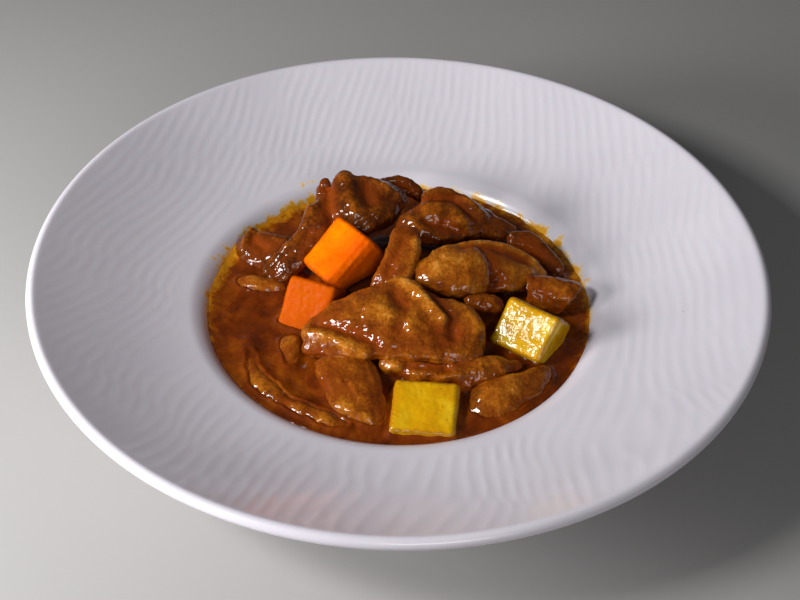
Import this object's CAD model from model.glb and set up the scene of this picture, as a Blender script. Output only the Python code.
"""Beef stew in its deep porcelain plate: the finish of every piece.

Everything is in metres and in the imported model's frame.  MM turns a size in
millimetres into metres, and the materials measure their patterns in millimetres.
"""

import math

import bmesh
import bpy
import numpy as np
from mathutils import Matrix, Vector, noise
from mathutils.bvhtree import BVHTree
from mathutils.geometry import intersect_point_line


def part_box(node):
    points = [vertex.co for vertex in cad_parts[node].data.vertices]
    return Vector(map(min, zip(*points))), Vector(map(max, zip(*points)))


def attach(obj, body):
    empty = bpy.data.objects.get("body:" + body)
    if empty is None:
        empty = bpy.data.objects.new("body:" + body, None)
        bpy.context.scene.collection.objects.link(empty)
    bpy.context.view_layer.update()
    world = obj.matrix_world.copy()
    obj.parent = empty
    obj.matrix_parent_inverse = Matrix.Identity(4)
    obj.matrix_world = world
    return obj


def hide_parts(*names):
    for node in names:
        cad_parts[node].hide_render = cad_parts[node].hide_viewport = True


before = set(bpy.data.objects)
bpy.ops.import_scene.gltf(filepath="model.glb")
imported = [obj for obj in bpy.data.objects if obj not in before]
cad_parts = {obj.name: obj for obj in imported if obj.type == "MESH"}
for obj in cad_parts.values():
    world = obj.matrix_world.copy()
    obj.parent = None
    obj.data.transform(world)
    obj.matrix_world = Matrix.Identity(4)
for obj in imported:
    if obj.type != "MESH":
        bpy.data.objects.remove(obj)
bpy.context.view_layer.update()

# --- Plate -------------------------------------------------------------------
# A wide-rimmed deep plate of hard white porcelain, pressed in one piece with a
# foot ring, and glazed all over.  The rim carries fine wavy ribs, pressed into
# the clay before firing, which the glaze has softened.

MM = 0.001

PLATE_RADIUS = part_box("plate")[1].x / MM
PLATE_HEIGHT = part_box("plate")[1].z / MM
LIP_RADIUS = 2.3
FLOOR_HEIGHT = 7.0
FLOOR_FILLET = 8.0
WALL_SLOPE = math.radians(75)
SHOULDER_RADIUS = 10.0
SHOULDER_SLOPE = math.radians(10)
SHOULDER_CENTRE = (84.0, 17.6)
LIP_CENTRE = (PLATE_RADIUS - LIP_RADIUS, PLATE_HEIGHT - LIP_RADIUS)
RIM_END_SLOPE = math.radians(32)
LIP_END_SLOPE = math.radians(-150)
RIM_THICKNESS = 4.9  # measured straight down
PLATE_SEGMENTS = 900
RIM_RINGS = 62
ARC_STEPS = 10
FILLET_STEPS = 3

# The underside, from the lip to the middle: radii under the rim, then radii and heights.
UNDER_RIM = (132.0, 125.0, 118.0, 110.0, 101.0, 92.0)
BASE_PROFILE = [(86.5, 22.0), (83.0, 18.0), (80.0, 12.0), (76.0, 6.5), (71.0, 3.7), (62.0, 2.6)]
FOOT_PROFILE = [(61.0, 0.3), (60.7, 0.0), (56.3, 0.0), (56.0, 0.3), (55.0, 2.5), (0.0, 2.5)]

# The ribs: they fade in and out between these radii, and fan out towards the left.
RIB_SPACING = 5.1
RIB_HEIGHT = 0.13
RIB_FAN = 0.24
RIB_FAN_REACH = 150.0
RIBS_START = (84.0, 89.0)
RIBS_END = (133.0, 137.0)

# Gravy and fat on the porcelain: the level above which it only stains, between
# which places it sets in towards the back, and where most of the fat has gone.
STAIN_FOOT = 22.1
BACK_RANGE = (-45.0, 20.0)
FAT_CORNER = (-0.75, 0.66, 0.0)

# Splashes on the rim and the wall: place, radius and colour.
PLATE_MARKS = (
    ((-88, -106, 48), 1.5, "#c07a1c"),
    ((108, -16, 36), 0.8, "#6a5a50"),
    ((73.5, -18, 28), 2.2, "#d9b030"),
    ((74.5, -15, 29), 1.6, "#e0c060"),
)


def linear(colour):
    """An sRGB hex colour as the linear RGBA that a socket takes."""
    channels = [int(colour[place:place + 2], 16) / 255 for place in (1, 3, 5)]
    curve = [c / 12.92 if c <= 0.04045 else ((c + 0.055) / 1.055) ** 2.4 for c in channels]
    return (*curve, 1.0)


def add_node(tree, kind, inputs=None, stops=None, **settings):
    """Adds a node: inputs are values or sockets, and stops a colour ramp's places and colours."""
    made = tree.nodes.new(kind)
    for name, value in settings.items():
        setattr(made, name, value)
    for name, value in (inputs or {}).items():
        if isinstance(value, bpy.types.NodeSocket):
            tree.links.new(value, made.inputs[name])
        else:
            made.inputs[name].default_value = value
    if stops:
        elements = made.color_ramp.elements
        while len(elements) < len(stops):
            elements.new(0.5)
        for element, (place, colour) in zip(elements, stops):
            element.position = place
            element.color = linear(colour)
    return made


def start_material(name):
    """A material with its tree, its Principled shader and its place in millimetres."""
    material = bpy.data.materials.new(name)
    material.use_nodes = True
    tree = material.node_tree
    shader = tree.nodes["Principled BSDF"]
    place = add_node(tree, "ShaderNodeTexCoord")
    scaled = add_node(
        tree, "ShaderNodeVectorMath",
        {0: place.outputs["Object"], "Scale": 1 / MM}, operation="SCALE",
    )
    return material, tree, shader, scaled.outputs["Vector"]


def set_shader(shader, **values):
    """Sets the shader's own sockets, each named with _ for its spaces."""
    for name, value in values.items():
        shader.inputs[name.replace("_", " ")].default_value = value


def smooth_step(low, high, value):
    """0 below the low value and 1 above the high one, with a soft change between them."""
    share = min(max((value - low) / (high - low), 0.0), 1.0)
    return share * share * (3 - 2 * share)


def arc_end(centre, radius, slope):
    """The point of a rounded surface at which it has this slope."""
    return (centre[0] - radius * math.sin(slope), centre[1] + radius * math.cos(slope))


def arc_points(centre, radius, first_slope, last_slope):
    """Points of a rounded surface whose tangent turns from one slope to another."""
    turn = last_slope - first_slope
    slopes = [first_slope + turn * step / ARC_STEPS for step in range(ARC_STEPS + 1)]
    return [arc_end(centre, radius, slope) for slope in slopes]


def rim_height(radius):
    """Height of the rim's plain surface over the table, rising ever more steeply."""
    start_r, start_z = arc_end(SHOULDER_CENTRE, SHOULDER_RADIUS, SHOULDER_SLOPE)
    end_r, end_z = arc_end(LIP_CENTRE, LIP_RADIUS, RIM_END_SLOPE)
    run = end_r - start_r
    steepening = (end_z - start_z - math.tan(SHOULDER_SLOPE) * run) / run**2
    out = radius - start_r
    return start_z + math.tan(SHOULDER_SLOPE) * out + steepening * out**2


def plate_profile():
    """Half of the plate's section: the well, up and over the lip, and back under to the middle."""
    shoulder = arc_points(SHOULDER_CENTRE, SHOULDER_RADIUS, WALL_SLOPE, SHOULDER_SLOPE)
    lip = arc_points(LIP_CENTRE, LIP_RADIUS, RIM_END_SLOPE, LIP_END_SLOPE)
    fillet_z = FLOOR_HEIGHT + FLOOR_FILLET
    drop = shoulder[0][1] - (fillet_z - FLOOR_FILLET * math.cos(WALL_SLOPE))
    fillet_r = shoulder[0][0] - drop / math.tan(WALL_SLOPE) - FLOOR_FILLET * math.sin(WALL_SLOPE)
    fillet = [
        (fillet_r + FLOOR_FILLET * math.sin(slope), fillet_z - FLOOR_FILLET * math.cos(slope))
        for slope in (WALL_SLOPE * step / FILLET_STEPS for step in range(FILLET_STEPS + 1))
    ]
    rim_start = shoulder[-1][0]
    rim_run = lip[0][0] - rim_start
    rim = []
    for step in range(1, RIM_RINGS):
        radius = rim_start + rim_run * step / RIM_RINGS
        rim.append((radius, rim_height(radius)))
    under = [(radius, rim_height(radius) - RIM_THICKNESS) for radius in UNDER_RIM]
    well = [(0.0, FLOOR_HEIGHT)] + fillet + shoulder
    return well + rim + lip + under + BASE_PROFILE + FOOT_PROFILE


def rib_relief(x, y):
    """Height in millimetres of the wavy ribs at a place on the rim."""
    place = Vector((x, y, 0))
    fan = RIB_FAN * math.exp(-x / RIB_FAN_REACH)
    drift = 8.0 * noise.noise(place / 55) + 1.5 * noise.noise(place / 21 + Vector((0, 0, 5)))
    phase = math.tau * (x - fan * y + drift) / RIB_SPACING
    # A second set, a little turned from the first, makes ribs fork and die out.
    beat = math.tau * (y / 43 + 1.3 * noise.noise(place / 40 + Vector((0, 0, 9))))
    share = 0.75 + 0.9 * noise.noise(place / 22 + Vector((0, 0, 3)))
    east = 1 + share * math.cos(beat)
    north = share * math.sin(beat)
    strength = min(math.hypot(east, north), 1.0)
    # The crests are narrower than the hollows, as in a pressed pattern.
    crest = (0.5 + 0.5 * math.cos(phase + math.atan2(north, east))) ** 1.7
    swell = 0.75 + 0.5 * noise.noise(place / 9 + Vector((0, 0, 7)))
    return RIB_HEIGHT * strength * swell * (crest - 0.35)


def new_piece(name, form, material):
    """Turns a bmesh into a finished, smooth-shaded piece that rides on the one body."""
    mesh = bpy.data.meshes.new(name)
    form.to_mesh(mesh)
    form.free()
    mesh.shade_smooth()
    mesh.materials.append(material)
    piece = bpy.data.objects.new(name, mesh)
    bpy.context.scene.collection.objects.link(piece)
    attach(piece, "root")
    return piece


def note_values(piece, name, values):
    """Stores one number for each vertex, for the material to read."""
    piece.data.attributes.new(name, "FLOAT", "POINT").data.foreach_set("value", values)


def turn_profile(profile, segments):
    """Spins a half section of radii and heights round the middle, as a plate is jiggered."""
    form = bmesh.new()
    corners = [form.verts.new((r * MM, 0, z * MM)) for r, z in profile]
    edges = [form.edges.new(pair) for pair in zip(corners, corners[1:])]
    bmesh.ops.spin(
        form, geom=corners + edges, cent=(0, 0, 0), axis=(0, 0, 1),
        angle=math.tau, steps=segments, use_merge=True,
    )
    bmesh.ops.remove_doubles(form, verts=form.verts, dist=0.01 * MM)
    bmesh.ops.recalc_face_normals(form, faces=form.faces)
    return form


def glazed_porcelain():
    """Glazed hard porcelain: a cool, faintly lavender white, stained where gravy has touched it."""
    material, tree, shader, place = start_material("glazed_porcelain")
    cloud = add_node(tree, "ShaderNodeTexNoise", {"Vector": place, "Scale": 0.02, "Detail": 3.0})
    body = add_node(
        tree, "ShaderNodeValToRGB", {"Fac": cloud.outputs["Fac"]},
        [(0.3, "#cdc8d1"), (0.7, "#d5d0d8")],
    )
    parts = add_node(tree, "ShaderNodeSeparateXYZ", {"Vector": place})
    back_share = add_node(
        tree, "ShaderNodeMapRange",
        {
            "Value": parts.outputs["Y"], "From Min": BACK_RANGE[0], "From Max": BACK_RANGE[1],
            "To Min": 0.0, "To Max": 1.7,
        },
    )
    ragged = add_node(
        tree, "ShaderNodeTexNoise",
        {"Vector": place, "Scale": 0.16, "Detail": 5.0, "Roughness": 0.6},
    )
    climb = add_node(
        tree, "ShaderNodeMapRange",
        {
            "Value": ragged.outputs["Fac"], "From Min": 0.40, "From Max": 0.70,
            "To Min": 0.3, "To Max": 2.6,
        },
    )
    to_fat = add_node(
        tree, "ShaderNodeVectorMath", {0: place, 1: FAT_CORNER}, operation="DOT_PRODUCT"
    )
    fat_share = add_node(
        tree, "ShaderNodeMapRange",
        {
            "Value": to_fat.outputs["Value"], "From Min": 62.0, "From Max": 78.0,
            "To Min": 0.0, "To Max": 0.7,
        },
    )
    steep = add_node(
        tree, "ShaderNodeMath",
        {0: back_share.outputs["Result"], 1: fat_share.outputs["Result"]}, operation="ADD",
    )
    reach = add_node(
        tree, "ShaderNodeMath",
        {0: climb.outputs["Result"], 1: steep.outputs["Value"], 2: STAIN_FOOT},
        operation="MULTIPLY_ADD",
    )
    wet = add_node(
        tree, "ShaderNodeMath",
        {0: reach.outputs["Value"], 1: parts.outputs["Z"]}, operation="SUBTRACT",
    )
    stain = add_node(
        tree, "ShaderNodeMapRange",
        {"Value": wet.outputs["Value"], "From Min": -0.9, "From Max": 1.8},
        interpolation_type="SMOOTHSTEP",
    )
    touched = add_node(tree, "ShaderNodeAttribute", attribute_name="food_side")
    stained = add_node(
        tree, "ShaderNodeMath",
        {0: stain.outputs["Result"], 1: touched.outputs["Fac"]}, operation="MULTIPLY",
    )
    oily = add_node(
        tree, "ShaderNodeValToRGB", {"Fac": stain.outputs["Result"]},
        [(0.0, "#efe2b0"), (0.5, "#efc040"), (1.0, "#e2a018")],
    )
    colour = add_node(
        tree, "ShaderNodeMix",
        {0: stained.outputs["Value"], 6: body.outputs["Color"], 7: oily.outputs["Color"]},
        data_type="RGBA",
    ).outputs[2]
    for mark_place, mark_radius, mark_colour in PLATE_MARKS:
        gap = add_node(tree, "ShaderNodeVectorMath", {0: place, 1: mark_place}, operation="DISTANCE")
        mark = add_node(
            tree, "ShaderNodeMapRange",
            {
                "Value": gap.outputs["Value"],
                "From Min": 0.4 * mark_radius, "From Max": mark_radius,
                "To Min": 0.8, "To Max": 0.0,
            },
        )
        colour = add_node(
            tree, "ShaderNodeMix", {0: mark.outputs["Result"], 6: colour, 7: linear(mark_colour)},
            data_type="RGBA",
        ).outputs[2]
    tree.links.new(colour, shader.inputs["Base Color"])
    set_shader(
        shader, Roughness=0.30, IOR=1.52, Subsurface_Weight=0.04, Subsurface_Scale=1.5 * MM,
        Coat_Weight=0.35, Coat_Roughness=0.06,
    )
    return material


plate_form = turn_profile(plate_profile(), PLATE_SEGMENTS)
food_side = []  # the part of the well that food can have touched, which alone is stained
for vertex in plate_form.verts:
    x, y, z = vertex.co / MM
    radius = math.hypot(x, y)
    in_well = radius < SHOULDER_CENTRE[0] and z > STAIN_FOOT - 2
    food_side.append(1.0 if in_well else 0.0)
    if RIBS_START[0] < radius < RIBS_END[1] and z > rim_height(radius) - 1:
        strength = smooth_step(*RIBS_START, radius) * (1 - smooth_step(*RIBS_END, radius))
        vertex.co += vertex.normal * rib_relief(x, y) * strength * MM
plate = new_piece("porcelain_plate", plate_form, glazed_porcelain())
note_values(plate, "food_side", food_side)
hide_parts("plate")

# --- Beef --------------------------------------------------------------------
# Slices of braised beef, cut across the grain and cooked until their edges
# curled and folded.  They are brown right through, with soft fibres, and gravy
# clings to them as a glossy film that is thick in the hollows.

BEEF_NODES = sorted(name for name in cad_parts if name.startswith("beef"))
BEEF_VOXEL = 0.5
BEEF_SMOOTHING = 2
SIDE_RUFFLE = 0.9  # the share by which a slice's cut sides are rougher than its faces
RIDGE_PALENESS = 0.12  # for each millimetre that a ridge stands out of the gravy
FILM_DEPTH = 1.1

# Knobs that stand up from the meat: centres and radii in millimetres.
BEEF_KNOBS = {
    "beef_back_left": (
        ((-31.5, 50.5, 42.8), 2.2), ((-31.5, 48.5, 40.5), 3.1), ((-30.5, 46, 37.5), 4.2),
        ((-23.5, 51.5, 43.6), 3.6), ((-23, 49, 40), 4.2),
    ),
}

# Folds, rims and creases where the meat has curled: how far each one rises or
# sinks, how wide it is to one side, and the line that it follows.
BEEF_FOLDS = {
    "beef_back_left": (
        (1.5, 2.4, ((-36, 36, 41), (-38, 29, 38), (-43, 23, 33), (-49, 19, 29), (-55, 14, 26))),
        (2.2, 3.6, ((-23, 49, 46), (-21, 42, 44), (-19, 34, 41))),
        (1.3, 2.0, ((-15, 49, 47), (-6, 46, 45), (1, 43, 42))),
        (-2.0, 2.8, ((-29, 45, 43), (-29, 36, 40), (-27, 29, 37))),
        (-1.4, 2.4, ((-15, 44, 45), (-13, 38, 42))),
        (1.6, 5.0, ((-12, 34, 41), (-5, 34, 40))),
    ),
    "beef_back_right": (
        (1.4, 2.4, ((9, 42, 46), (15, 46, 48), (22, 44, 47.5), (29, 39, 45), (34, 35, 42))),
        (-1.7, 2.2, ((6, 36, 43), (14, 38, 45), (22, 39, 45), (29, 34, 42))),
        (2.0, 4.5, ((12, 33, 43), (19, 33, 43), (25, 29, 41))),
        (1.0, 2.4, ((4, 28, 42), (9, 24, 40.5), (16, 21, 39))),
        (-1.2, 1.8, ((10, 27, 41), (18, 27, 40), (25, 25, 39))),
    ),
    "beef_back_curl": (
        (1.2, 1.6, ((-6, 55, 42), (-1, 57, 43), (4, 55, 42))),
        (-1.4, 1.8, ((-2, 53, 39), (2, 52, 38))),
    ),
    "beef_centre": (
        (2.6, 3.0, ((0, -6, 42), (5, -11, 42.5), (9, -16, 42), (13, -21, 41), (17, -25, 39.5))),
        (
            1.9, 2.6,
            ((-35, -26, 31), (-30, -29, 33), (-25, -32, 33.5), (-19, -37, 33), (-12, -41, 32)),
        ),
        (-1.5, 2.2, ((-31, -24, 34), (-24, -27, 35), (-17, -31, 36), (-9, -35, 35.5))),
        (1.5, 3.2, ((21, -17, 38), (27, -20, 37), (30, -27, 35.5))),
        (-1.8, 2.2, ((11, -12, 41), (16, -18, 40), (20, -24, 39), (21, -32, 36))),
        (1.3, 6.0, ((-8, -22, 40), (3, -26, 39))),
        (-1.0, 2.6, ((-2, -15, 40), (2, -22, 39), (1, -30, 37))),
    ),
    "beef_right_large": (
        (
            1.2, 1.6,
            ((13, 9, 43), (24, 15, 44.4), (34, 17, 44), (44, 17, 41.4), (53, 15, 38), (60, 10, 33)),
        ),
        (-0.8, 2.0, ((24, 11, 43), (34, 13, 43), (44, 12, 41), (52, 11, 38))),
        (1.2, 5.0, ((16, 1, 41), (24, 4, 42), (31, 4, 41))),
        (-2.6, 2.4, ((38, -4, 34), (39, 0, 36))),
        (-1.0, 2.0, ((33, 10, 42), (36, 4, 40), (37, -1, 37))),
        (1.0, 4.0, ((46, 5, 38), (52, 6, 35))),
    ),
    "beef_tongue": (
        (1.4, 2.2, ((3, -1, 38), (6, 5, 42), (6, 11, 45))),
        (-0.9, 2.0, ((-4, 0, 38), (-1, 6, 41), (1, 11, 44))),
    ),
    "beef_right_edge": ((0.9, 1.6, ((46, 30, 35.6), (54, 33, 35), (61, 27, 32), (66, 19, 27))),),
    "beef_left_fold": (
        (1.5, 1.8, ((-61, 37, 31), (-63, 32, 29.4), (-65, 26, 27))),
        (1.0, 1.6, ((-61, 37, 31), (-54, 32, 31), (-46, 27, 31))),
        (-1.2, 2.4, ((-60, 30, 28), (-55, 25, 28))),
    ),
    "beef_under": (
        (1.0, 1.8, ((-2, -43, 29.4), (8, -46, 29.4), (19, -46, 29), (31, -43, 28.6))),
        (-0.8, 2.0, ((4, -42, 29), (18, -42, 29))),
    ),
    "beef_front_square": ((1.3, 2.4, ((-22, -59, 26), (-16, -62, 26), (-11, -64, 25.4))),),
    "beef_front_right": ((1.0, 4.0, ((36, -54, 27), (45, -49, 28))),),
}

# How pale each slice has cooked, from 0 to 1, how rough its surface is, and how
# many millimetres it has swelled.
BEEF_LOOKS = {
    "beef_centre": (0.44, 0.9, 0.15), "beef_tongue": (0.45, 0.8, 0.3),
    "beef_right_large": (0.58, 0.7, 0.2), "beef_front_square": (0.44, 0.7, 0.3),
    "beef_front_right": (0.50, 0.7, 0.6), "beef_under": (0.42, 1.3, 0.4),
    "beef_long_strip": (0.50, 1.2, 1.5), "beef_small_shred": (0.50, 1.0, 0.6),
    "beef_left_shred": (0.60, 1.0, 0.8), "beef_back_left": (0.14, 0.95, 0.15),
    "beef_back_right": (0.30, 1.0, 0.15), "beef_back_curl": (0.16, 0.8, 0.15),
    "beef_left_fold": (0.18, 0.5, 0.3), "beef_right_edge": (0.24, 0.9, 0.15),
}
OTHER_BEEF = (0.40, 1.0, 0.15)


def long_axis(points):
    """The direction in which a piece is longest."""
    spread = points - points.mean(axis=0)
    return Vector(np.linalg.svd(spread, full_matrices=False)[2][0])


def fine_copy(node_name, voxel, smoothing, knobs=()):
    """A node's solid, joined to its knobs, as an even fine mesh with the facets smoothed away."""
    form = bmesh.new()
    form.from_mesh(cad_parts[node_name].data)
    bmesh.ops.remove_doubles(form, verts=form.verts, dist=0.005 * MM)
    for centre, radius in knobs:
        bmesh.ops.create_icosphere(
            form, subdivisions=3, radius=radius * MM, matrix=Matrix.Translation(Vector(centre) * MM)
        )
    mesh = bpy.data.meshes.new(node_name + "_fine")
    form.to_mesh(mesh)
    form.free()
    carrier = bpy.data.objects.new(node_name + "_fine", mesh)
    bpy.context.scene.collection.objects.link(carrier)
    remesh = carrier.modifiers.new("even", "REMESH")
    remesh.mode = "VOXEL"
    remesh.voxel_size = voxel * MM
    depsgraph = bpy.context.evaluated_depsgraph_get()
    form = bmesh.new()
    form.from_mesh(carrier.evaluated_get(depsgraph).to_mesh())
    bpy.data.objects.remove(carrier)
    bpy.data.meshes.remove(mesh)
    for _ in range(smoothing):
        bmesh.ops.smooth_vert(
            form, verts=form.verts, factor=0.5, use_axis_x=True, use_axis_y=True, use_axis_z=True
        )
    form.normal_update()
    return form


def laid_on(form, folds):
    """The folds with their lines moved onto the nearest surface of the piece."""
    surface = BVHTree.FromBMesh(form)
    laid = []
    for rise, width, line in folds:
        points = [surface.find_nearest(Vector(point) * MM)[0] / MM for point in line]
        laid.append((rise, width, points))
    return laid


def fold_relief(place, laid):
    """Height in millimetres of the folds and creases at a place."""
    height = 0.0
    for rise, width, points in laid:
        gap = 9.0 * width  # farther than a fold is felt
        for first, second in zip(points, points[1:]):
            on_line, share = intersect_point_line(place, first, second)
            nearest = first.lerp(second, min(max(share, 0.0), 1.0))
            gap = min(gap, (place - nearest).length)
        height += rise * math.exp(-((gap / width) ** 2))
    return height


def meat_relief(place, grain, seed):
    """Height in millimetres of the meat's lumps, folds and fibres."""
    offset = Vector((seed, seed * 0.7, 0))
    along = place.dot(grain)
    fibre_place = place - grain * along * 0.7
    lumps = noise.noise(place / 12 + offset)
    folds = noise.noise(place / 6 + offset)
    puckers = noise.noise(place / 3.1 - offset)
    fibres = noise.noise(fibre_place / 1.9 + offset)
    grains = noise.noise(place / 1.3 - offset)
    return 0.75 * lumps + 0.5 * folds + 0.27 * puckers + 0.24 * fibres + 0.15 * grains


def braised_beef():
    """Braised beef in gravy: brown muscle under a wet, glossy, orange-brown film."""
    material, tree, shader, place = start_material("braised_beef")
    pale = add_node(tree, "ShaderNodeAttribute", attribute_name="paleness")
    mottle = add_node(
        tree, "ShaderNodeTexNoise",
        {"Vector": place, "Scale": 0.16, "Detail": 6.0, "Roughness": 0.62},
    )
    grains = add_node(
        tree, "ShaderNodeTexNoise", {"Vector": place, "Scale": 0.9, "Detail": 4.0, "Roughness": 0.6}
    )
    grained = add_node(
        tree, "ShaderNodeMath",
        {0: grains.outputs["Fac"], 1: 0.7, 2: pale.outputs["Fac"]}, operation="MULTIPLY_ADD",
    )
    tone = add_node(
        tree, "ShaderNodeMath",
        {0: mottle.outputs["Fac"], 1: 1.1, 2: grained.outputs["Value"]}, operation="MULTIPLY_ADD",
    )
    tone_share = add_node(
        tree, "ShaderNodeMapRange",
        {"Value": tone.outputs["Value"], "From Min": 0.85, "From Max": 1.95},
    )
    muscle = add_node(
        tree, "ShaderNodeValToRGB", {"Fac": tone_share.outputs["Result"]},
        [
            (0.05, "#341400"), (0.3, "#5e2a00"), (0.5, "#864404"),
            (0.7, "#a6600e"), (0.9, "#c48638"),
        ],
    )
    film = add_node(tree, "ShaderNodeAttribute", attribute_name="film")
    colour = add_node(
        tree, "ShaderNodeMix",
        {0: film.outputs["Fac"], 6: muscle.outputs["Color"], 7: linear("#7a3200")},
        data_type="RGBA",
    )
    tree.links.new(colour.outputs[2], shader.inputs["Base Color"])
    fine = add_node(
        tree, "ShaderNodeTexNoise", {"Vector": place, "Scale": 0.85, "Detail": 5.0, "Roughness": 0.6}
    )
    bump = add_node(
        tree, "ShaderNodeBump", {"Height": fine.outputs["Fac"], "Strength": 0.7, "Distance": 0.6 * MM}
    )
    tree.links.new(bump.outputs["Normal"], shader.inputs["Normal"])
    beads = add_node(
        tree, "ShaderNodeTexNoise", {"Vector": place, "Scale": 0.35, "Detail": 2.0, "Roughness": 0.5}
    )
    wet = add_node(
        tree, "ShaderNodeBump",
        {"Height": beads.outputs["Fac"], "Strength": 0.25, "Distance": 1.0 * MM},
    )
    tree.links.new(wet.outputs["Normal"], shader.inputs["Coat Normal"])
    set_shader(
        shader, Roughness=0.6, IOR=1.4, Specular_IOR_Level=0.05, Subsurface_Weight=0.08,
        Subsurface_Scale=1.5 * MM, Coat_Weight=0.9, Coat_Roughness=0.05, Coat_IOR=1.42,
    )
    return material


beef_material = braised_beef()
food_pieces = []
for name in BEEF_NODES:
    form = fine_copy(name, BEEF_VOXEL, BEEF_SMOOTHING, BEEF_KNOBS.get(name, ()))
    laid = laid_on(form, BEEF_FOLDS.get(name, ()))
    grain = long_axis(np.array([tuple(v.co) for v in form.verts]))
    seed = 1.0 + 3.7 * BEEF_NODES.index(name)
    tone, roughness, swell = BEEF_LOOKS.get(name, OTHER_BEEF)
    paleness, film = [], []
    for vertex in form.verts:
        ruffle = 1.0 + SIDE_RUFFLE * (1 - abs(vertex.normal.z))
        relief = meat_relief(vertex.co / MM, grain, seed) * roughness * ruffle
        relief += fold_relief(vertex.co / MM, laid)
        vertex.co += vertex.normal * (relief + swell) * MM
        paleness.append(tone + RIDGE_PALENESS * relief)
        film.append(1 - smooth_step(-FILM_DEPTH, FILM_DEPTH, relief))
    piece = new_piece(name + "_cooked", form, beef_material)
    note_values(piece, "paleness", paleness)
    note_values(piece, "film", film)
    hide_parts(name)
    food_pieces.append(piece)

# --- Carrots and potatoes ----------------------------------------------------
# Chunks cut with a knife and simmered until soft: flat cut faces, rounded worn
# edges, a wet skin of gravy, and the potato stained yellow right through.

VEGETABLE_VOXEL = 0.45
VEGETABLE_SMOOTHING = 3
SWELL = 0.1
WORN_TURN = (0.002, 0.03)  # how sharply the surface turns where it starts to be, and is, worn
FLECK_SPACING = 3.2
DARKER_CHUNKS = {"carrot_lower": 0.8}  # cut from nearer the core


def vegetable_relief(place, seed):
    """Height in millimetres of the unevenness of a knife cut and of the softened flesh."""
    offset = Vector((seed, 0, seed))
    return 0.5 * noise.noise(place / 8 + offset) + 0.12 * noise.noise(place / 1.8 + offset)


def cooked_vegetable(name, stops, edge_colour, clear_depth, wet_height, wetness):
    """Simmered vegetable: wet and glossy, light sinking a little way in, flecked with spice."""
    material, tree, shader, place = start_material(name)
    patchy = add_node(tree, "ShaderNodeTexNoise", {"Vector": place, "Scale": 0.09, "Detail": 5.0})
    body = add_node(tree, "ShaderNodeValToRGB", {"Fac": patchy.outputs["Fac"]}, stops)
    edge = add_node(tree, "ShaderNodeAttribute", attribute_name="edge")
    worn = add_node(
        tree, "ShaderNodeMix",
        {0: edge.outputs["Fac"], 6: body.outputs["Color"], 7: linear(edge_colour)},
        data_type="RGBA",
    )
    cells = add_node(
        tree, "ShaderNodeTexVoronoi",
        {"Vector": place, "Scale": 1 / FLECK_SPACING, "Randomness": 1.0},
    )
    fleck = add_node(
        tree, "ShaderNodeMapRange",
        {
            "Value": cells.outputs["Distance"], "From Min": 0.06, "From Max": 0.14,
            "To Min": 0.55, "To Max": 0.0,
        },
    )
    colour = add_node(
        tree, "ShaderNodeMix",
        {0: fleck.outputs["Result"], 6: worn.outputs[2], 7: linear("#9a4a06")}, data_type="RGBA",
    )
    tree.links.new(colour.outputs[2], shader.inputs["Base Color"])
    fine = add_node(tree, "ShaderNodeTexNoise", {"Vector": place, "Scale": 0.9, "Detail": 5.0})
    bump = add_node(
        tree, "ShaderNodeBump", {"Height": fine.outputs["Fac"], "Strength": 0.25, "Distance": 0.4 * MM}
    )
    tree.links.new(bump.outputs["Normal"], shader.inputs["Normal"])
    skin = add_node(tree, "ShaderNodeTexNoise", {"Vector": place, "Scale": 0.28, "Detail": 3.5})
    wet = add_node(
        tree, "ShaderNodeBump",
        {"Height": skin.outputs["Fac"], "Strength": 0.5, "Distance": wet_height * MM},
    )
    tree.links.new(wet.outputs["Normal"], shader.inputs["Coat Normal"])
    set_shader(
        shader, Roughness=0.5, IOR=1.4, Specular_IOR_Level=0.03, Subsurface_Weight=0.2,
        Subsurface_Scale=clear_depth * MM, Coat_Weight=wetness, Coat_Roughness=0.10, Coat_IOR=1.5,
    )
    return material


# Carrot: clear and orange, and nearly dry at the cut faces.
carrot_material = cooked_vegetable(
    "simmered_carrot", [(0.3, "#e05600"), (0.5, "#f06800"), (0.7, "#fa7c00")], "#ae4800",
    clear_depth=2.0, wet_height=0.25, wetness=0.01,
)
# Potato: mealy and yellow, under a thick uneven skin of fat that mirrors the lamps.
potato_material = cooked_vegetable(
    "simmered_potato", [(0.3, "#bc8200"), (0.5, "#cc9800"), (0.7, "#dcb41c")], "#a06c00",
    clear_depth=3.0, wet_height=1.6, wetness=1.0,
)
for name in sorted(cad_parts):
    if not name.startswith(("carrot", "potato")):
        continue
    form = fine_copy(name, VEGETABLE_VOXEL, VEGETABLE_SMOOTHING)
    edge = []
    for vertex in form.verts:
        near = [other.other_vert(vertex).normal for other in vertex.link_edges]
        turn = max((1 - vertex.normal.dot(normal) for normal in near), default=0.0)
        edge.append(max(smooth_step(*WORN_TURN, turn), DARKER_CHUNKS.get(name, 0.0)))
    seed = 2.0 + len(name)
    for vertex in form.verts:
        vertex.co += vertex.normal * (vegetable_relief(vertex.co / MM, seed) + SWELL) * MM
    kind = name.split("_")[0]
    material = carrot_material if kind == "carrot" else potato_material
    piece = new_piece(name + "_cooked", form, material)
    note_values(piece, "edge", edge)
    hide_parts(name)
    food_pieces.append(piece)

# --- Gravy -------------------------------------------------------------------
# Thick brown gravy with a little free fat.  It fills the well, climbs every
# piece and the porcelain in a small curve, and runs thin and yellow at its edge.

GRAVY_LEVEL = 21.8
GRAVY_RADIUS = 75.9
GRAVY_SPACING = 0.55
EDGE_TRIM = 0.3  # so that no square is left thin when its edge is drawn out to the round

# The small climbs: how high on the food and how far from it, the same on the
# wall, and how far away food is looked for.
MENISCUS_RISE = 1.9
MENISCUS_REACH = 1.7
WALL_RISE = 0.7
WALL_REACH = 1.2
WALL_RADIUS = 74.9
FOOD_REACH = 6.0

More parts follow.
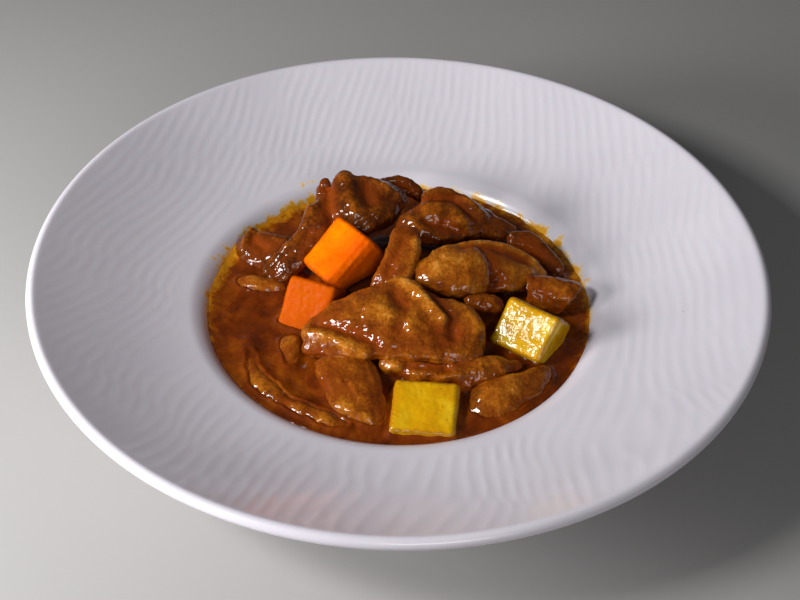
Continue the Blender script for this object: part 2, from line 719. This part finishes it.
# Towards where fat has gathered, and by how many millimetres it is wider there.
FAT_SIDES = ((FAT_CORNER, 4.0), ((-0.98, -0.17, 0.0), 2.5), ((0.97, 0.26, 0.0), 3.5))
SPECK_SPACING = 2.8

# The heap of gravy among the slices, and how deep it is where they shade it.
MOUND_CENTRE = (5.0, 10.0)
MOUND_RADII = (38.0, 34.0)
MOUND_HEIGHT = 6.0
SHADE_DEPTH = 3.0

# The hidden side narrows to this share of the radius at the bottom.
SKIRT_SHARE = 0.88
SKIRT_HEIGHT = 8.0


def gravy_mound(x, y):
    """How far the heap of gravy rises over its level, in millimetres."""
    east = (x - MOUND_CENTRE[0]) / MOUND_RADII[0]
    north = (y - MOUND_CENTRE[1]) / MOUND_RADII[1]
    return MOUND_HEIGHT * math.sqrt(max(1 - (east**2 + north**2), 0.0))


def gravy_waves(x, y):
    """Height in millimetres of the lumps just under the gravy's skin."""
    place = Vector((x, y, 0))
    lumps = 0.5 * noise.noise(place / 13) + 0.42 * noise.noise(place / 5)
    return lumps + 0.16 * noise.noise(place / 1.9)


def brown_gravy():
    """Reduced brown gravy: deep brown, wet, a little clear, with orange fat at the back."""
    material, tree, shader, place = start_material("brown_gravy")
    swirl = add_node(
        tree, "ShaderNodeTexNoise",
        {"Vector": place, "Scale": 0.07, "Detail": 6.0, "Roughness": 0.6, "Distortion": 0.6},
    )
    deep = add_node(
        tree, "ShaderNodeValToRGB", {"Fac": swirl.outputs["Fac"]},
        [(0.3, "#501c00"), (0.5, "#6e2c00"), (0.7, "#8e4602")],
    )
    parts = add_node(tree, "ShaderNodeSeparateXYZ", {"Vector": place})
    flat = add_node(tree, "ShaderNodeVectorMath", {0: place, 1: (1, 1, 0)}, operation="MULTIPLY")
    radius = add_node(tree, "ShaderNodeVectorMath", {0: flat.outputs["Vector"]}, operation="LENGTH")
    back_share = add_node(
        tree, "ShaderNodeMapRange",
        {
            "Value": parts.outputs["Y"], "From Min": BACK_RANGE[0], "From Max": BACK_RANGE[1],
            "To Min": -3.5, "To Max": 0.0,
        },
    )
    inner = add_node(
        tree, "ShaderNodeMath",
        {0: radius.outputs["Value"], 1: back_share.outputs["Result"]}, operation="ADD",
    )
    for side, fat_width in FAT_SIDES:
        towards = add_node(
            tree, "ShaderNodeVectorMath", {0: place, 1: side}, operation="DOT_PRODUCT"
        )
        share = add_node(
            tree, "ShaderNodeMapRange",
            {
                "Value": towards.outputs["Value"], "From Min": 50.0, "From Max": GRAVY_RADIUS,
                "To Min": 0.0, "To Max": fat_width,
            },
        )
        inner = add_node(
            tree, "ShaderNodeMath",
            {0: inner.outputs["Value"], 1: share.outputs["Result"]}, operation="ADD",
        )
    ragged = add_node(
        tree, "ShaderNodeTexNoise",
        {"Vector": place, "Scale": 0.28, "Detail": 5.0, "Roughness": 0.7},
    )
    shifted = add_node(
        tree, "ShaderNodeMath",
        {0: ragged.outputs["Fac"], 1: 16.0, 2: inner.outputs["Value"]},
        operation="MULTIPLY_ADD",
    )
    thin = add_node(
        tree, "ShaderNodeMapRange",
        {"Value": shifted.outputs["Value"], "From Min": 78.6, "From Max": 86.6},
        interpolation_type="SMOOTHSTEP",
    )
    fringe = add_node(
        tree, "ShaderNodeValToRGB", {"Fac": thin.outputs["Result"]},
        [(0.0, "#7a3602"), (0.5, "#9c5000"), (1.0, "#bc7a0c")],
    )
    mix = add_node(
        tree, "ShaderNodeMix",
        {0: thin.outputs["Result"], 6: deep.outputs["Color"], 7: fringe.outputs["Color"]},
        data_type="RGBA",
    )
    gap = add_node(tree, "ShaderNodeAttribute", attribute_name="gap")
    dark = add_node(
        tree, "ShaderNodeMix",
        {0: gap.outputs["Fac"], 6: mix.outputs[2], 7: linear("#3c1604")}, data_type="RGBA",
    )
    cells = add_node(
        tree, "ShaderNodeTexVoronoi",
        {"Vector": place, "Scale": 1 / SPECK_SPACING, "Randomness": 1.0},
    )
    speck = add_node(
        tree, "ShaderNodeMapRange",
        {
            "Value": cells.outputs["Distance"], "From Min": 0.08, "From Max": 0.17,
            "To Min": 0.7, "To Max": 0.0,
        },
    )
    spiced = add_node(
        tree, "ShaderNodeMix",
        {0: speck.outputs["Result"], 6: dark.outputs[2], 7: linear("#451200")}, data_type="RGBA",
    )
    tree.links.new(spiced.outputs[2], shader.inputs["Base Color"])
    gloss = add_node(
        tree, "ShaderNodeMapRange", {"Value": gap.outputs["Fac"], "To Min": 0.9, "To Max": 0.0}
    )
    tree.links.new(gloss.outputs["Result"], shader.inputs["Coat Weight"])
    fine = add_node(tree, "ShaderNodeTexNoise", {"Vector": place, "Scale": 0.5, "Detail": 6.0})
    bump = add_node(
        tree, "ShaderNodeBump", {"Height": fine.outputs["Fac"], "Strength": 0.4, "Distance": 0.5 * MM}
    )
    tree.links.new(bump.outputs["Normal"], shader.inputs["Normal"])
    set_shader(
        shader, Roughness=0.5, IOR=1.4, Specular_IOR_Level=0.05, Subsurface_Weight=0.1,
        Subsurface_Scale=1.5 * MM, Coat_Roughness=0.06, Coat_IOR=1.38,
    )
    return material


def food_tree(pieces):
    """A search tree over all the food, for finding how near a place is to it."""
    joined = bmesh.new()
    for piece in pieces:
        joined.from_mesh(piece.data)
    tree = BVHTree.FromBMesh(joined)
    joined.free()
    return tree


nearby = food_tree(food_pieces)
gravy_form = bmesh.new()
squares = int(2 * GRAVY_RADIUS / GRAVY_SPACING)
bmesh.ops.create_grid(
    gravy_form, x_segments=squares, y_segments=squares, size=GRAVY_RADIUS * MM
)
outside = [v for v in gravy_form.verts if v.co.length > (GRAVY_RADIUS - EDGE_TRIM) * MM]
bmesh.ops.delete(gravy_form, geom=outside, context="VERTS")
edge_verts = {v for e in gravy_form.edges if e.is_boundary for v in e.verts}
for vertex in edge_verts:
    vertex.co *= GRAVY_RADIUS * MM / vertex.co.length
for vertex in gravy_form.verts:
    x, y, _ = vertex.co / MM
    height = GRAVY_LEVEL + gravy_mound(x, y) + gravy_waves(x, y)
    wall_gap = max(WALL_RADIUS - math.hypot(x, y), 0.0)
    height += WALL_RISE * math.exp(-wall_gap / WALL_REACH)
    food_gap = nearby.find_nearest(Vector((x, y, height)) * MM, FOOD_REACH * MM)[3]
    if food_gap is not None:
        height += MENISCUS_RISE * math.exp(-food_gap / (MENISCUS_REACH * MM))
    vertex.co.z = height * MM
rim_edges = [e for e in gravy_form.edges if e.is_boundary]
walls = bmesh.ops.extrude_edge_only(gravy_form, edges=rim_edges)["geom"]
lower = [v for v in walls if isinstance(v, bmesh.types.BMVert)]
for vertex in lower:
    vertex.co = Vector(
        (vertex.co.x * SKIRT_SHARE, vertex.co.y * SKIRT_SHARE, SKIRT_HEIGHT * MM)
    )
bmesh.ops.contextual_create(gravy_form, geom=[e for e in gravy_form.edges if e.is_boundary])
bmesh.ops.recalc_face_normals(gravy_form, faces=gravy_form.faces)
gap_depth = [gravy_mound(v.co.x / MM, v.co.y / MM) for v in gravy_form.verts]
gravy = new_piece("gravy_in_plate", gravy_form, brown_gravy())
note_values(gravy, "gap", [smooth_step(0.0, SHADE_DEPTH, depth) for depth in gap_depth])
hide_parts("gravy")

# --- Table, lights and camera ------------------------------------------------
# A plain pale table top, a low soft lamp at the left, a smaller one above it,
# which the wet faces mirror, and a weak one in front.

FLOOR_SIZE = 6.0
LAMP_AIM = Vector((0, 0, 0.03))

floor_form = bmesh.new()
bmesh.ops.create_grid(floor_form, x_segments=1, y_segments=1, size=FLOOR_SIZE / 2)
floor_mesh = bpy.data.meshes.new("table_top")
floor_form.to_mesh(floor_mesh)
floor_form.free()
floor = bpy.data.objects.new("table_top", floor_mesh)
bpy.context.scene.collection.objects.link(floor)
# Matt painted board: an even pale grey with no glints of its own.
floor_material, _, floor_shader, _ = start_material("matt_painted_board")
set_shader(floor_shader, Base_Color=linear("#a8a6a4"), Roughness=0.7)
floor_mesh.materials.append(floor_material)


def soft_lamp(name, place, size, power):
    """An even light of this width and height, turned to face the food."""
    lamp = bpy.data.lights.new(name, "AREA")
    lamp.shape = "RECTANGLE"
    lamp.size, lamp.size_y = size
    lamp.energy = power
    made = bpy.data.objects.new(name, lamp)
    facing = (Vector(place) - LAMP_AIM).to_track_quat("Z", "Y").to_matrix().to_4x4()
    made.matrix_world = Matrix.Translation(place) @ facing
    bpy.context.scene.collection.objects.link(made)


soft_lamp("low_lamp", (-0.61, -0.19, 0.225), (0.23, 0.15), 4.6)
soft_lamp("high_lamp", (-0.42, -0.226, 0.463), (0.16, 0.12), 2.7)
soft_lamp("front_lamp", (0.12, -0.65, 0.40), (0.30, 0.20), 1.0)
world = bpy.data.worlds.new("studio")
bpy.context.scene.world = world
world.use_nodes = True
surroundings = world.node_tree.nodes["Background"]
surroundings.inputs["Color"].default_value = linear("#d8dade")
surroundings.inputs["Strength"].default_value = 0.10

CAMERA_LENS = 60.0
CAMERA_SENSOR = 36.0
CAMERA_DISTANCE = 0.4879
CAMERA_ELEVATION = math.radians(41.92)
CAMERA_ROLL = math.radians(1.1)
CAMERA_AIM = Vector((0.0005, -0.0287, PLATE_HEIGHT * MM))

camera_data = bpy.data.cameras.new("camera")
camera_data.lens = CAMERA_LENS
camera_data.sensor_width = CAMERA_SENSOR
camera_data.clip_start = 0.01
camera = bpy.data.objects.new("camera", camera_data)
backward = Vector((0, -math.cos(CAMERA_ELEVATION), math.sin(CAMERA_ELEVATION)))
level = backward.to_track_quat("Z", "Y").to_matrix().to_4x4()
turn = Matrix.Rotation(CAMERA_ROLL, 4, backward) @ level
camera.matrix_world = Matrix.Translation(CAMERA_AIM + backward * CAMERA_DISTANCE) @ turn
bpy.context.scene.collection.objects.link(camera)
bpy.context.scene.camera = camera
bpy.context.scene.view_settings.view_transform = "Standard"
